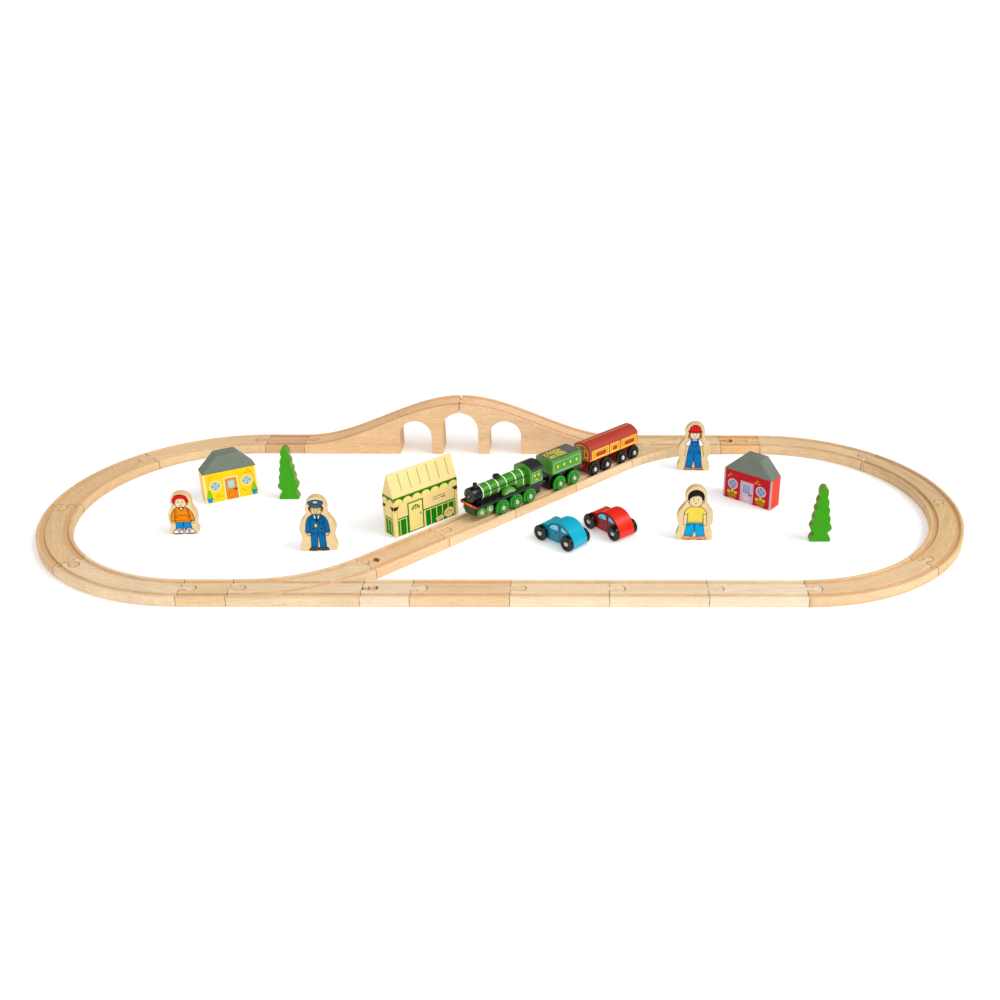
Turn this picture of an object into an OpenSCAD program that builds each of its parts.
// Wooden train set: a loop of grooved track with a three-arch bridge and a
// diagonal cut-off, a locomotive with tender and coach, two cars, two
// houses, a station, two trees and four flat figures. Millimetres.
// Origin: centre of the loop on the ground. +X along the straights, +Z up.
// Left is -X, right is +X, front is -Y and back is +Y.

/* [Track] */
// Width of every track piece
track_width = 40; // [39:0.5:41]
// Thickness of the flat track
track_height = 12; // [11:0.5:13]
// Centre of each wheel groove from the centreline
groove_offset = 13; // [12.8:0.1:13.2]
// Width of each wheel groove
groove_width = 6; // [5.6:0.1:6.4]
// Depth of each wheel groove
groove_depth = 3; // [2.5:0.1:3]
// Centreline radius of the 45 degree curves
curve_radius = 202; // [200:0.5:203]
// Centreline radius of the branch in each switch
branch_radius = 182; // [178:1:184]
// Edge chamfer on the long edges
edge_chamfer = 1; // [0.4:0.1:1.2]
// Gap left at each end of a piece
end_gap = 0.15; // [0.05:0.05:0.3]

/* [Connectors] */
// Diameter of the peg head
peg_diameter = 11.5; // [10.5:0.1:11.7]
// Width of the peg neck
neck_width = 6; // [5:0.1:6.4]
// Centre of the peg head beyond the end
peg_reach = 11.5; // [11:0.1:11.8]
// Diameter of the socket
socket_diameter = 12.5; // [12.3:0.1:13]
// Width of the socket slot
slot_width = 7; // [6.8:0.1:7.6]
// Height of the low pegs on the switches
low_peg_height = 8; // [6:0.5:9]

/* [Bridge] */
// Rim height at the middle of the bridge
bridge_top = 72; // [68:1:74]
// Crown height of the middle arch
arch_mid_top = 60.5; // [56:0.5:60.5]
// Crown height of the two side arches
arch_side_top = 48.5; // [44:0.5:49]
// Half width of the middle arch
arch_mid_radius = 24.5; // [22:0.5:25]
// Half width of the side arches
arch_side_radius = 22; // [20:0.5:22]
// Half of the gap between the two bridge halves
bridge_gap = 0.75; // [0.3:0.05:1]

/* [Locomotive] */
// Radius of the boiler
boiler_radius = 9.3; // [8.8:0.1:9.4]
// Radius of the smokebox
smokebox_radius = 9.6; // [9.4:0.1:9.8]
// Height of the boiler axis
boiler_z = 44.3; // [44.3:0.1:45]
// Underside of the running board
board_z = 31; // [30.8:0.1:31.2]
// Thickness of the running board
board_thickness = 3.6; // [3.2:0.1:3.6]
// Half width of the running board
board_half_width = 15.5; // [14.5:0.5:16]
// Radius of the driving wheels
drive_radius = 10.5; // [10.2:0.1:10.6]
// Radius of the small front wheels
small_radius = 6.1; // [5.6:0.1:6.2]

/* [Coach] */
// Half width of the coach body
coach_half_width = 15; // [14:0.5:15.5]
// Underside of the coach body
coach_z = 32; // [31.9:0.1:33]
// Height of the eaves
coach_eave = 48.4; // [47:0.5:52]
// Height of the roof crest
coach_top = 55.4; // [54:0.2:61]
// Radius of the coach wheels
coach_radius = 10; // [9.6:0.1:10.1]

/* [Cars] */
// Width of the car body
car_width = 24; // [22:0.5:24.5]
// Radius of the car wheels
car_radius = 9.8; // [9.4:0.1:10]
// Distance between the axles
car_base = 42; // [41:0.5:43]

/* [Buildings] */
// Thickness of the house blocks
house_depth = 22; // [20:0.5:24]
// Length of the station block
station_length = 94; // [90:1:96]
// Height of the station ridge
station_top = 79.5; // [76:0.5:82]

/* [Figures and trees] */
// Thickness of the flat figures
figure_thickness = 10; // [8:0.5:11]
// Thickness of the flat trees
tree_thickness = 12; // [10:0.5:13]

/* [Hidden] */
// Lengths of the pieces; half the bridge takes the place of two straights.
short_length = 54;
switch_length = 144;
straight_length = 108;
bridge_half = 2 * straight_length;

// Half the length of the front and back rows.
row_half = (2 * short_length + switch_length + 4 * straight_length) / 2;
after_switch_x = -row_half + short_length + switch_length;

// The branch starts this far into a switch, so that it ends on the 45 degree
// line through the origin.
branch_run = branch_radius * sin(45);
branch_drift = branch_radius * (1 - cos(45));
lead = row_half - short_length - curve_radius + branch_drift - branch_run;

// Cut-off from the front switch's branch end, through the origin, in four pieces.
branch_end = [-row_half + short_length + lead + branch_run, -curve_radius + branch_drift];
diagonal_angle = atan2(-branch_end.y, -branch_end.x);
diagonal_length = 2 * norm(branch_end) / 4;

wood = [0.87, 0.73, 0.55];
green = [0.20, 0.50, 0.15];
black = [0.08, 0.08, 0.08];
red = [0.62, 0.16, 0.11];
cream = [0.95, 0.87, 0.62];
car_blue = [0.05, 0.65, 0.80];
car_red = [0.85, 0.15, 0.08];

// ---------- helpers ----------

// Extrude a section from x0 to x1: its X runs along +Y and its Y runs up.
module along_x(x0, x1) {
  translate([x0, 0, 0]) rotate([90, 0, 90]) linear_extrude(x1 - x0) children();
}

// Stand a drawing of X and Z up, with its thickness running towards +Y.
module standing(thickness) {
  translate([0, thickness, 0]) rotate([90, 0, 0]) linear_extrude(thickness) children();
}

// Box centred on y = 0.
module block(x0, x1, half_width, z0, z1) {
  translate([x0, -half_width, z0]) cube([x1 - x0, 2 * half_width, z1 - z0]);
}

// Rod along X on y = 0; its ends may come in either order.
module rod_x(radius, x0, x1, z, facets = 64) {
  translate([min(x0, x1), 0, z]) rotate([0, 90, 0])
    cylinder(r = radius, h = abs(x1 - x0), $fn = facets);
}

module rod_y(radius, y0, y1, x, z) {
  translate([x, y0, z]) rotate([-90, 0, 0]) cylinder(r = radius, h = y1 - y0, $fn = 64);
}

// Upright rod on y = 0.
module rod_z(radius, x, z0, z1, facets = 64) {
  translate([x, 0, z0]) cylinder(r = radius, h = z1 - z0, $fn = facets);
}

// The children and their mirror image across y = 0.
module both_sides() {
  for (side = [0, 1]) mirror([0, side, 0]) children();
}

module place(x, y, angle) { translate([x, y, 0]) rotate(angle) children(); }

// ---------- track ----------

// Chamfer along the top edges of the grooves.
groove_chamfer = 0.5;
groove_floor = track_height - groove_depth;
// How far a cut runs past the wood.
overcut = 1;

// Angle that the end gap takes up on an arc.
function gap_angle(radius) = end_gap / radius * 180 / PI;

// Section of the flat track with two grooves and chamfered edges.
module track_section() {
  side = track_width / 2;
  inner = groove_offset - groove_width / 2;
  outer = groove_offset + groove_width / 2;
  lip = track_height - groove_chamfer;
  half = [
    [side - edge_chamfer, 0], [side, edge_chamfer],
    [side, track_height - edge_chamfer], [side - edge_chamfer, track_height],
    [outer + groove_chamfer, track_height], [outer, lip], [outer, groove_floor],
    [inner, groove_floor], [inner, lip], [inner - groove_chamfer, track_height]
  ];
  polygon(concat(half, [for (i = [len(half) - 1:-1:0]) [-half[i].x, half[i].y]]));
}

// Peg that starts at x = 0 and points along +X; its neck is rooted in the piece.
module peg(height = track_height) {
  root = 3;
  translate([peg_reach, 0, 0]) cylinder(d = peg_diameter, h = height, $fn = 64);
  block(-root, peg_reach, neck_width / 2, 0, height);
}

// Cut for a socket that opens at x = 0 and runs along +X.
module socket(height = track_height) {
  translate([peg_reach, 0, -overcut])
    cylinder(d = socket_diameter, h = height + 2 * overcut, $fn = 64);
  block(-2, peg_reach, slot_width / 2, -overcut, height + overcut);
}

// Straight from x = 0 along +X; each end is "peg" or "socket".
module straight(length, start = "socket", end = "peg") {
  difference() {
    along_x(end_gap, length - end_gap) track_section();
    if (start == "socket") socket();
    if (end == "socket") translate([length, 0, 0]) rotate(180) socket();
  }
  if (start == "peg") translate([end_gap, 0, 0]) rotate(180) peg();
  if (end == "peg") translate([length - end_gap, 0, 0]) peg();
}

// 45 degree curve about the origin: socket at angle 0, peg at the far end.
module curve() {
  gap = gap_angle(curve_radius);
  difference() {
    rotate(gap) rotate_extrude(angle = 45 - 2 * gap, $fn = 180)
      translate([curve_radius, 0]) track_section();
    translate([curve_radius, 0, 0]) rotate(90) socket();
  }
  rotate(45 - gap) translate([curve_radius, 0, 0]) rotate(90) peg();
}

// Arc of a switch's branch, swept from a drawing of radius and Z.
module branch_sweep(angle) {
  translate([lead, branch_radius, 0]) rotate(-90)
    rotate_extrude(angle = angle, $fn = 180) children();
}

// Puts the children at the end of the branch, short of it by gap degrees.
module at_branch_end(gap = 0) {
  translate([lead, branch_radius, 0]) rotate(-45 - gap)
    translate([branch_radius, 0, 0]) children();
}

// Switch: common end at the origin, straight road along +X, branch to +Y.
// The two far ends get the opposite of the common end, "peg" or "socket".
module switch(common_end) {
  side = track_width / 2;
  gap = gap_angle(branch_radius);
  difference() {
    union() {
      block(end_gap, switch_length - end_gap, side, 0, track_height);
      branch_sweep(45 - gap) translate([branch_radius - side, 0])
        square([track_width, track_height]);
    }
    for (k = [-1, 1]) {
      translate([-overcut, k * groove_offset - groove_width / 2, groove_floor])
        cube([switch_length + 2 * overcut, groove_width, groove_depth + overcut]);
      branch_sweep(46)
        translate([branch_radius - k * groove_offset - groove_width / 2, groove_floor])
          square([groove_width, groove_depth + overcut]);
    }
    if (common_end == "peg") {
      translate([switch_length, 0, 0]) rotate(180) socket();
      at_branch_end() rotate(-90) socket();
    }
    if (common_end == "socket") socket();
  }
  if (common_end == "socket") {
    translate([switch_length - end_gap, 0, 0]) peg(low_peg_height);
    at_branch_end(gap) rotate(90) peg(low_peg_height);
  }
  if (common_end == "peg") translate([end_gap, 0, 0]) rotate(180) peg(low_peg_height);
}

// ---------- bridge ----------

bridge_steps = 40;
// From the edge of the middle arch to the centre of a side arch.
side_arch_offset = 37;

// Height of the rim at a fraction of the climb, level at both ends.
function rim_height(climb) =
  track_height + (bridge_top - track_height) * (3 * climb * climb - 2 * climb * climb * climb);

// Side view from x0 to x1 of half a bridge, climbing from x = 0 to bridge_half.
module bridge_profile(x0, x1, drop = 0) {
  polygon(concat([[x1, 0], [x0, 0]],
    [for (i = [0:bridge_steps])
      let (x = x0 + (x1 - x0) * i / bridge_steps)
      [x, rim_height(min(1, max(0, x / bridge_half))) - drop]]));
}

module arch_hole(x, radius, top) {
  translate([x, 0]) union() {
    translate([-radius, -1]) square([2 * radius, top - radius + 1]);
    translate([0, top - radius]) circle(r = radius, $fn = 128);
  }
}

// Half bridge along +X; low_end and top_end are "peg" or "socket".
module bridge(low_end, top_end) {
  difference() {
    translate([0, -track_width / 2, 0]) standing(track_width) difference() {
      bridge_profile(end_gap, bridge_half - bridge_gap);
      arch_hole(bridge_half, arch_mid_radius, arch_mid_top);
      arch_hole(bridge_half - arch_mid_radius - side_arch_offset, arch_side_radius, arch_side_top);
    }
    // Wheel grooves that follow the rim.
    for (k = [-1, 1])
      translate([0, k * groove_offset - groove_width / 2, 0]) standing(groove_width)
        difference() {
          translate([-1, 0]) square([bridge_half + 2, bridge_top + 10]);
          bridge_profile(-2, bridge_half + 2, groove_depth);
        }
    if (low_end == "socket") socket(40);
    if (top_end == "socket")
      translate([bridge_half, 0, arch_mid_top - 6]) rotate(180) socket(30);
  }
  if (low_end == "peg") translate([end_gap, 0, 0]) rotate(180) peg();
  if (top_end == "peg")
    translate([bridge_half - end_gap, 0, arch_mid_top + 1.5])
      peg(bridge_top - arch_mid_top - 2.5);
}

// ---------- vehicles, drawn along the track with the front towards -X ----------

axle_radius = 1.5;
bore_radius = 1.6;
pin_radius = 2;
pin_hole_radius = 2.08;
frame_half_width = 9.3;
coupling_z = 22.5;
// Small gaps: wheels above the groove floor, loco bodies above the board.
wheel_seat = 0.03;
body_seat = 0.02;

drive_z = groove_floor + drive_radius + wheel_seat;
coach_axle_z = groove_floor + coach_radius + wheel_seat;
bogie_axle_z = 24.4;
body_z = board_z + board_thickness + body_seat;

// Axle places along X.
drive_axles = [-15.8, 6.6, 29];
bogie_axles = [-49, -36.2];
bogie_pin_x = (bogie_axles[0] + bogie_axles[1]) / 2;
tender_axles = [81, 106];
coach_pins = [155.75, 208.5];
coach_axle_offset = 11.4;
coach_axles = [for (pin = coach_pins, k = [-1, 1]) pin + k * coach_axle_offset];

boiler_back = 29.4;
chimney_x = -46.7;
dome_x = -12.7;
chimney_z = 50.6;
dome_z = 50.1;
stem_radius = 2.35;
stem_hole_radius = 2.4;
stem_hole_clearance = 0.1;

module axle_bore(x, z) { rod_y(bore_radius, -20, 20, x, z); }

// A pair of wheels with a raised, recessed boss, on an axle.
module stepped_wheelset(radius, boss, x, z) {
  rod_y(axle_radius, -14, 14, x, z);
  both_sides() {
    difference() {
      union() {
        rod_y(radius, 11.4, 14.6, x, z);
        rod_y(boss, 14.5, 17, x, z);
      }
      rod_y(boss - 2.2, 15.8, 18, x, z);
    }
    rod_y(2.8, 13, 16.8, x, z);
  }
}

// A pair of plain wheels from y0 to y1, each with a cap in a shallow recess.
module plain_wheelset(radius, y0, y1, cap, x, z) {
  rod_y(axle_radius, -y0 - 1, y0 + 1, x, z);
  both_sides() {
    difference() {
      rod_y(radius, y0, y1, x, z);
      rod_y(cap + 0.8, y1 - 0.6, y1 + 1, x, z);
    }
    rod_y(cap, y0 + 1, y1 + 0.3, x, z);
  }
}

// Coupling: holder rooted in the vehicle, with a narrower disc at its tip.
module coupling(tip_x, root_x) {
  inward = sign(root_x - tip_x);
  rod_x(4.2, tip_x + 1.2 * inward, root_x, coupling_z);
  rod_x(3.4, tip_x, tip_x + 1.4 * inward, coupling_z);
}

// Section with straight sides from base_z to eave_z and an arc up to crest_z.
module arc_top(half_width, base_z, eave_z, crest_z) {
  steps = 24;
  crown = crest_z - eave_z;
  radius = (half_width * half_width + crown * crown) / (2 * crown);
  half_angle = asin(half_width / radius);
  polygon(concat([[-half_width, base_z], [half_width, base_z]],
    [for (i = [0:steps])
      let (angle = half_angle - 2 * half_angle * i / steps)
      [radius * sin(angle), crest_z - radius + radius * cos(angle)]]));
}

// Block section with rounded top edges.
module rounded_top(half_width, z0, z1, radius) {
  steps = 8;
  polygon(concat([[-half_width, z0], [half_width, z0]],
    [for (k = [1, -1], i = [0:steps])
      let (angle = (k > 0 ? 0 : 90) + 90 * i / steps)
      [k * (half_width - radius) + radius * cos(angle), z1 - radius + radius * sin(angle)]]));
}

module loco_chassis() {
  color(black) difference() {
    union() {
      block(-57.5, 51.5, board_half_width, board_z, board_z + board_thickness);
      block(-26.3, 51.3, frame_half_width, 16, board_z + 1);
      coupling(58.85, 50);
    }
    for (x = drive_axles) axle_bore(x, drive_z);
    rod_z(pin_hole_radius, bogie_pin_x, board_z - 1, board_z + 2.7);
  }
}

module loco_boiler() {
  color(green) difference() {
    union() {
      rod_x(boiler_radius, -44, boiler_back, boiler_z, 96);
      rod_x(smokebox_radius, -56.5, -43, boiler_z, 96);
      // Narrow rib under the barrel, then the full-width block at its rear.
      block(-50, boiler_back, 6, body_z, body_z + 5);
      block(12, boiler_back, boiler_radius, body_z, boiler_z + body_seat);
    }
    rod_z(stem_hole_radius, chimney_x, chimney_z - stem_hole_clearance, 60.5, 48);
    rod_z(stem_hole_radius, dome_x, dome_z - stem_hole_clearance, 60, 48);
  }
  // Disc segment standing on the running board at each side.
  color(green) both_sides() difference() {
    rod_y(10.8, 9.7, 14.6, -3.3, 31.65);
    translate([-20, 8, 15]) cube([40, 8, body_z - 15]);
  }
}

// Half outlines of [radius, height], starting with the stem in the boiler.
module loco_chimney_and_dome() {
  color(black) translate([chimney_x, 0, chimney_z]) rotate_extrude($fn = 64)
    polygon([[0, 0], [stem_radius, 0], [stem_radius, 3.4], [3.5, 3.4], [2.5, 4.6],
      [2.2, 6.2], [2.7, 8.2], [2.3, 8.6], [0, 8.2]]);
  color(black) translate([dome_x, 0, dome_z]) rotate_extrude($fn = 64)
    polygon(concat([[0, 0], [stem_radius, 0], [stem_radius, 3.7]],
      [for (i = [-4:8]) let (angle = i * 11.25) [5 * cos(angle), 6.2 + 2.7 * sin(angle)]],
      [[0, 8.9]]));
}

module loco_cab() {
  half_width = 15.3;
  // Taller front wall.
  color(green) along_x(29.45, 31.85) arc_top(half_width, body_z, 52.6, 58.6);
  // Cab block, with a round notch in each side and a hollow open to the rear.
  color(green) difference() {
    along_x(31.8, 50.6) arc_top(half_width, body_z, 51, 56.4);
    both_sides() rod_y(4.6, 8, 20, 53.2, 47);
    block(44, 54, 10.5, 38, 52);
  }
  // Roof.
  color(black) along_x(31.95, 52.15) difference() {
    arc_top(15.9, 50.2, 52.6, 58.8);
    arc_top(17, 40, 50.2, 56.55);
  }
}

module loco_bogie() {
  color(green) difference() {
    union() {
      block(-56.4, -29, frame_half_width, 20, board_z - 0.25);
      rod_z(pin_radius, bogie_pin_x, 28, 33.2);
    }
    for (x = bogie_axles) axle_bore(x, bogie_axle_z);
  }
}

module bogie_wheelset(x) {
  plain_wheelset(small_radius, y0 = 11.2, y1 = 14.8, cap = 2.8, x = x, z = bogie_axle_z);
}
module drive_wheelset(x) { stepped_wheelset(drive_radius, boss = 7.2, x = x, z = drive_z); }

module loco_bogie_wheels_1() { color(green) bogie_wheelset(bogie_axles[0]); }
module loco_bogie_wheels_2() { color(green) bogie_wheelset(bogie_axles[1]); }
module loco_drive_wheels_1() { color(green) drive_wheelset(drive_axles[0]); }
module loco_drive_wheels_2() { color(green) drive_wheelset(drive_axles[1]); }
module loco_drive_wheels_3() { color(green) drive_wheelset(drive_axles[2]); }

module tender_chassis() {
  color(black) difference() {
    union() {
      block(67.4, 119.4, frame_half_width, 14, 34.9);
      coupling(59.15, 68.5);
      coupling(127.2, 118.5);
    }
    for (x = tender_axles) axle_bore(x, drive_z);
  }
}
module tender_body() {
  color(green) along_x(66.8, 119.8) rounded_top(half_width = 15.5, z0 = 34.95, z1 = 55, radius = 3.2);
}
module tender_wheels_1() { color(green) drive_wheelset(tender_axles[0]); }
module tender_wheels_2() { color(green) drive_wheelset(tender_axles[1]); }

module coach_body() {
  color(red) difference() {
    along_x(134.8, 226.4) arc_top(coach_half_width, coach_z, coach_eave, coach_top);
    for (x = coach_pins) rod_z(pin_hole_radius, x, coach_z - 1, coach_z + 5);
  }
}

// Bogie block around its pin; the coupling reaches coupling_tip along X from the pin.
module coach_bogie(pin_x, coupling_tip) {
  color(red) difference() {
    union() {
      block(pin_x - 18.9, pin_x + 18.9, frame_half_width, 13.5, coach_z - 0.2);
      rod_z(pin_radius, pin_x, coach_z - 4, coach_z + 4.6);
      coupling(pin_x + coupling_tip, pin_x + 18 * sign(coupling_tip));
    }
    for (k = [-1, 1]) axle_bore(pin_x + k * coach_axle_offset, coach_axle_z);
  }
}
module coach_wheelset(x) { stepped_wheelset(coach_radius, boss = 6.8, x = x, z = coach_axle_z); }

module coach_bogie_front() { coach_bogie(coach_pins[0], -28.2); }
module coach_bogie_rear() { coach_bogie(coach_pins[1], 26.6); }
module coach_wheels_1() { color(black) coach_wheelset(coach_axles[0]); }
module coach_wheels_2() { color(black) coach_wheelset(coach_axles[1]); }
module coach_wheels_3() { color(black) coach_wheelset(coach_axles[2]); }
module coach_wheels_4() { color(black) coach_wheelset(coach_axles[3]); }

// ---------- cars, drawn nose to +X with the rear axle at x = 0 ----------

car_axle_z = car_radius + 0.02;

// Outline as [x, z], from the rear bottom corner over the roof to the windscreen.
car_rear = [
  [-8.5, 4], [-8.7, 9], [-7.2, 14.3], [-3.2, 21], [2, 26.2],
  [7.4, 29.2], [13, 30.1], [19, 29.6], [25, 27.6], [30.6, 23.2]
];
// Outline as [x, z], from the windscreen over the hood to the front bottom corner.
car_hood = [
  [31.6, 22.9], [38, 22.4], [44.5, 19.6], [49, 15.2], [51, 10], [50.4, 5.4], [49, 4]
];

// Catmull-Rom point between start and end, with the key points on either side.
function spline(before, start, end, after, t) =
  0.5 * ((2 * start) + (end - before) * t
    + (2 * before - 5 * start + 4 * end - after) * t * t
    + (3 * start - before - 3 * end + after) * t * t * t);

// Smooth open curve through all the key points.
function smooth(keys, steps = 5) =
  let (last = len(keys) - 1)
  concat(
    [for (i = [0:last - 1], j = [0:steps - 1])
      spline(keys[max(0, i - 1)], keys[i], keys[i + 1], keys[min(last, i + 2)], j / steps)],
    [keys[last]]);

module car_body(tint) {
  color(tint) difference() {
    translate([0, -car_width / 2, 0]) standing(car_width)
      polygon(concat(smooth(car_rear), smooth(car_hood)));
    for (x = [0, car_base]) axle_bore(x, car_axle_z);
  }
}
module car_wheels(x) {
  color(black) plain_wheelset(car_radius, y0 = car_width / 2 + 0.5, y1 = car_width / 2 + 4.7,
    cap = 3.9, x = x, z = car_axle_z);
}

// ---------- scenery ----------

// Flat board cut to half_widths at heights; lean slides the crown along X.
module cutout(heights, half_widths, thickness, lean = 0) {
  last = len(heights) - 1;
  function shift(i) = lean * heights[i] / heights[last];
  standing(thickness) polygon(concat(
    [for (i = [0:last]) [shift(i) + half_widths[i], heights[i]]],
    [for (i = [last - 1:-1:0]) [shift(i) - half_widths[i], heights[i]]]));
}

// Heights in even steps up to crown_z, then closing up towards the top.
function cutout_heights(crown_z, top, steps, crown_steps) = concat(
  [for (i = [0:steps - 1]) crown_z * i / steps],
  [for (i = [0:crown_steps]) crown_z + (top - crown_z) * sin(90 * i / crown_steps)]);

// Cosine ease from one value to another.
function blend(from, to, part) = from + (to - from) * (1 - cos(180 * part)) / 2;

// Head centre as a share of a figure's height.
head_share = 0.8;

// Half width of a figure at height z: foot, waist, belly, neck and round head.
function figure_half_width(z, height, foot, waist, waist_z, belly, neck, head) =
  let (foot_z = 5, belly_z = 0.405 * height, neck_z = 0.715 * height, head_z = head_share * height)
  z < foot_z ? foot - 1.1 * pow(1 - z / foot_z, 2.5) :
  z < waist_z ? blend(foot, waist, (z - foot_z) / (waist_z - foot_z)) :
  z < belly_z ? blend(waist, belly, (z - waist_z) / (belly_z - waist_z)) :
  z < neck_z ? blend(belly, neck, pow((z - belly_z) / (neck_z - belly_z), 1.35)) :
  z < head_z ? blend(neck, head, (z - neck_z) / (head_z - neck_z)) :
  head * sqrt(max(0, 1 - pow((z - head_z) / (height - head_z), 2)));

// Foot, waist, belly, neck and head are half widths.
module figure(height, foot, waist, waist_z, belly, neck, head, lean) {
  heights = cutout_heights(head_share * height, height, 48, 16);
  half_widths = [for (z = heights)
    figure_half_width(z, height, foot, waist, waist_z, belly, neck, head)];
  color(wood) cutout(heights, half_widths, figure_thickness, lean);
}

// Half width at z along a chain of [height, half width] keys, round at the
// wide ones and creased at the narrow ones.
function lobed_width(keys, z, i = 0) =
  i >= len(keys) - 1 ? keys[len(keys) - 1].y :
  z > keys[i + 1].x ? lobed_width(keys, z, i + 1) :
  let (
    part = (z - keys[i].x) / (keys[i + 1].x - keys[i].x),
    change = keys[i + 1].y - keys[i].y
  )
  keys[i].y + change * (change > 0 ? sin(90 * part) : 1 - cos(90 * part));

// Flat conifer with lobed sides over a flared foot and a rounded crown.
module tree(height) {
  crown_height = 7;
  crown_z = height - crown_height;
  // [height, half width]
  lobes = [
    [0, 12.4], [2, 12.5], [11, 6.8], [17.8, 13], [24, 10], [29.5, 10.5], [36.2, 8.1],
    [41, 9], [46.6, 6.5], [51, 7.2], [58.4, 4.5], [63.5, 5.2], [crown_z, 5.2]
  ];
  heights = cutout_heights(crown_z, height, 84, 12);
  half_widths = [for (z = heights)
    lobed_width(lobes, z) * sqrt(max(0, 1 - pow(max(0, z - crown_z) / crown_height, 2)))];
  color(green) cutout(heights, half_widths, tree_thickness);
}

// House block with a flat roof top from x = roof_x0 to x = roof_x1.
module house(length, eave, roof_x0, roof_x1, top, tint) {
  color(tint) standing(house_depth)
    polygon([[0, 0], [length, 0], [length, eave], [roof_x1, top], [roof_x0, top], [0, eave]]);
}

// Station block with a narrow flat ridge.
module station() {
  depth = 23;
  eave = 52;
  color(cream) along_x(0, station_length)
    polygon([[0, 0], [depth, 0], [depth, eave], [12, station_top], [11, station_top], [0, eave]]);
}

// ---------- placing ----------

// The front row runs towards +X and the back row towards -X.
module front_row(x) { place(x, -curve_radius, 0) children(); }
module back_row(x) { place(x, curve_radius, 180) children(); }
module right_end(i) { place(row_half, 0, -90 + 45 * i) children(); }
module left_end(i) { place(-row_half, 0, 90 + 45 * i) children(); }
module on_diagonal() { rotate(diagonal_angle) children(); }
module blue_place() { place(87.9, -85.1, 139) children(); }
module red_place() { place(144.3, -60, 132.2) children(); }

module front_straight(i) {
  front_row(after_switch_x + short_length + i * straight_length) straight(straight_length);
}
module diagonal_straight(i) {
  place(branch_end.x, branch_end.y, diagonal_angle)
    translate([diagonal_length * i, 0, 0]) straight(diagonal_length);
}

module track_curve_left_1() { color(wood) left_end(0) curve(); }
module track_curve_left_2() { color(wood) left_end(1) curve(); }
module track_curve_left_3() { color(wood) left_end(2) curve(); }
module track_curve_left_4() { color(wood) left_end(3) curve(); }
module track_curve_right_1() { color(wood) right_end(0) curve(); }
module track_curve_right_2() { color(wood) right_end(1) curve(); }
module track_curve_right_3() { color(wood) right_end(2) curve(); }
module track_curve_right_4() { color(wood) right_end(3) curve(); }
module track_short_front_left() { color(wood) front_row(-row_half) straight(short_length); }
module track_short_front_mid() { color(wood) front_row(after_switch_x) straight(short_length); }
module track_short_back_left() {
  color(wood) back_row(-row_half + short_length) straight(short_length, "peg", "peg");
}
module track_short_back_right() {
  color(wood) back_row(row_half) straight(short_length, "socket", "socket");
}
module track_straight_front_1() { color(wood) front_straight(0); }
module track_straight_front_2() { color(wood) front_straight(1); }
module track_straight_front_3() { color(wood) front_straight(2); }
module track_straight_front_4() { color(wood) front_straight(3); }
module track_switch_front() { color(wood) front_row(-row_half + short_length) switch("socket"); }
module track_switch_back() { color(wood) back_row(row_half - short_length) switch("peg"); }
module bridge_left() {
  color(wood) place(-row_half + short_length, curve_radius, 0) bridge("socket", "peg");
}
module bridge_right() {
  color(wood) back_row(-row_half + short_length + 2 * bridge_half) bridge("peg", "socket");
}
module track_diagonal_1() { color(wood) diagonal_straight(0); }
module track_diagonal_2() { color(wood) diagonal_straight(1); }
module track_diagonal_3() { color(wood) diagonal_straight(2); }
module track_diagonal_4() { color(wood) diagonal_straight(3); }

module car_blue_body() { blue_place() car_body(car_blue); }
module car_blue_wheels_front() { blue_place() car_wheels(car_base); }
module car_blue_wheels_rear() { blue_place() car_wheels(0); }
module car_red_body() { red_place() car_body(car_red); }
module car_red_wheels_front() { red_place() car_wheels(car_base); }
module car_red_wheels_rear() { red_place() car_wheels(0); }

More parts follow.
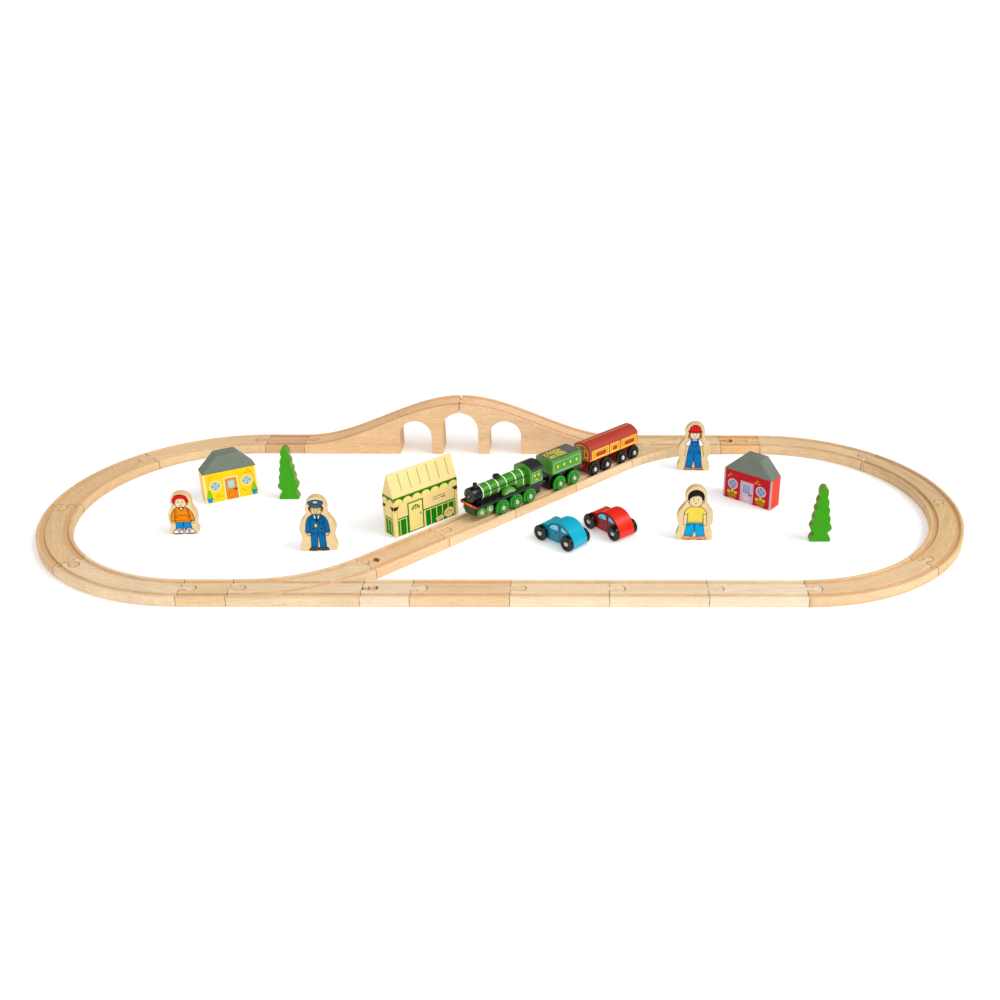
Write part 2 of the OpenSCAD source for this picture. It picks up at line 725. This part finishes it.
module figure_child_orange() {
  place(-382.3, -55.4, 5) figure(height = 54.6, foot = 17, waist = 15.1, waist_z = 10.2,
    belly = 16.8, neck = 11.7, head = 12.1, lean = 0.9);
}
module figure_conductor() {
  place(-212.2, -96.2, 4) figure(height = 70.1, foot = 21.2, waist = 18.4, waist_z = 17.4,
    belly = 20.9, neck = 12, head = 12.5, lean = 1);
}
module figure_child_hard_hat() {
  place(245.4, 129.8, -3) figure(height = 68.2, foot = 21.8, waist = 18.4, waist_z = 17,
    belly = 21.3, neck = 12.7, head = 13.1, lean = 0.8);
}
module figure_child_yellow() {
  place(230.1, -68, -3) figure(height = 70.3, foot = 21.9, waist = 18.7, waist_z = 17.8,
    belly = 21.5, neck = 12.2, head = 12.8, lean = 0.6);
}
module house_yellow() {
  place(-379.3, 24.7, 29)
    house(length = 67, eave = 40.3, roof_x0 = 21, roof_x1 = 47, top = 61.6, tint = cream);
}
module house_red() {
  place(277.5, 52, -38)
    house(length = 69.5, eave = 40.5, roof_x0 = 23.4, roof_x1 = 49.8, top = 62.2, tint = red);
}
module station_building() { place(-127.3, -64.7, 42.7) station(); }
module tree_left() { place(-277.8, 39.4, 1) tree(71); }
module tree_right() { place(380.5, -72.2, 1) tree(72); }

// ---------- parts ----------
track_curve_left_1();
track_curve_left_2();
track_curve_left_3();
track_curve_left_4();
track_curve_right_1();
track_curve_right_2();
track_curve_right_3();
track_curve_right_4();
track_short_front_left();
track_short_front_mid();
track_short_back_left();
track_short_back_right();
track_straight_front_1();
track_straight_front_2();
track_straight_front_3();
track_straight_front_4();
track_switch_front();
track_switch_back();
bridge_left();
bridge_right();
track_diagonal_1();
track_diagonal_2();
track_diagonal_3();
track_diagonal_4();
on_diagonal() loco_chassis();
on_diagonal() loco_boiler();
on_diagonal() loco_chimney_and_dome();
on_diagonal() loco_cab();
on_diagonal() loco_bogie();
on_diagonal() loco_bogie_wheels_1();
on_diagonal() loco_bogie_wheels_2();
on_diagonal() loco_drive_wheels_1();
on_diagonal() loco_drive_wheels_2();
on_diagonal() loco_drive_wheels_3();
on_diagonal() tender_chassis();
on_diagonal() tender_body();
on_diagonal() tender_wheels_1();
on_diagonal() tender_wheels_2();
on_diagonal() coach_body();
on_diagonal() coach_bogie_front();
on_diagonal() coach_bogie_rear();
on_diagonal() coach_wheels_1();
on_diagonal() coach_wheels_2();
on_diagonal() coach_wheels_3();
on_diagonal() coach_wheels_4();
car_blue_body();
car_blue_wheels_front();
car_blue_wheels_rear();
car_red_body();
car_red_wheels_front();
car_red_wheels_rear();
figure_child_orange();
figure_conductor();
figure_child_hard_hat();
figure_child_yellow();
house_yellow();
house_red();
station_building();
tree_left();
tree_right();
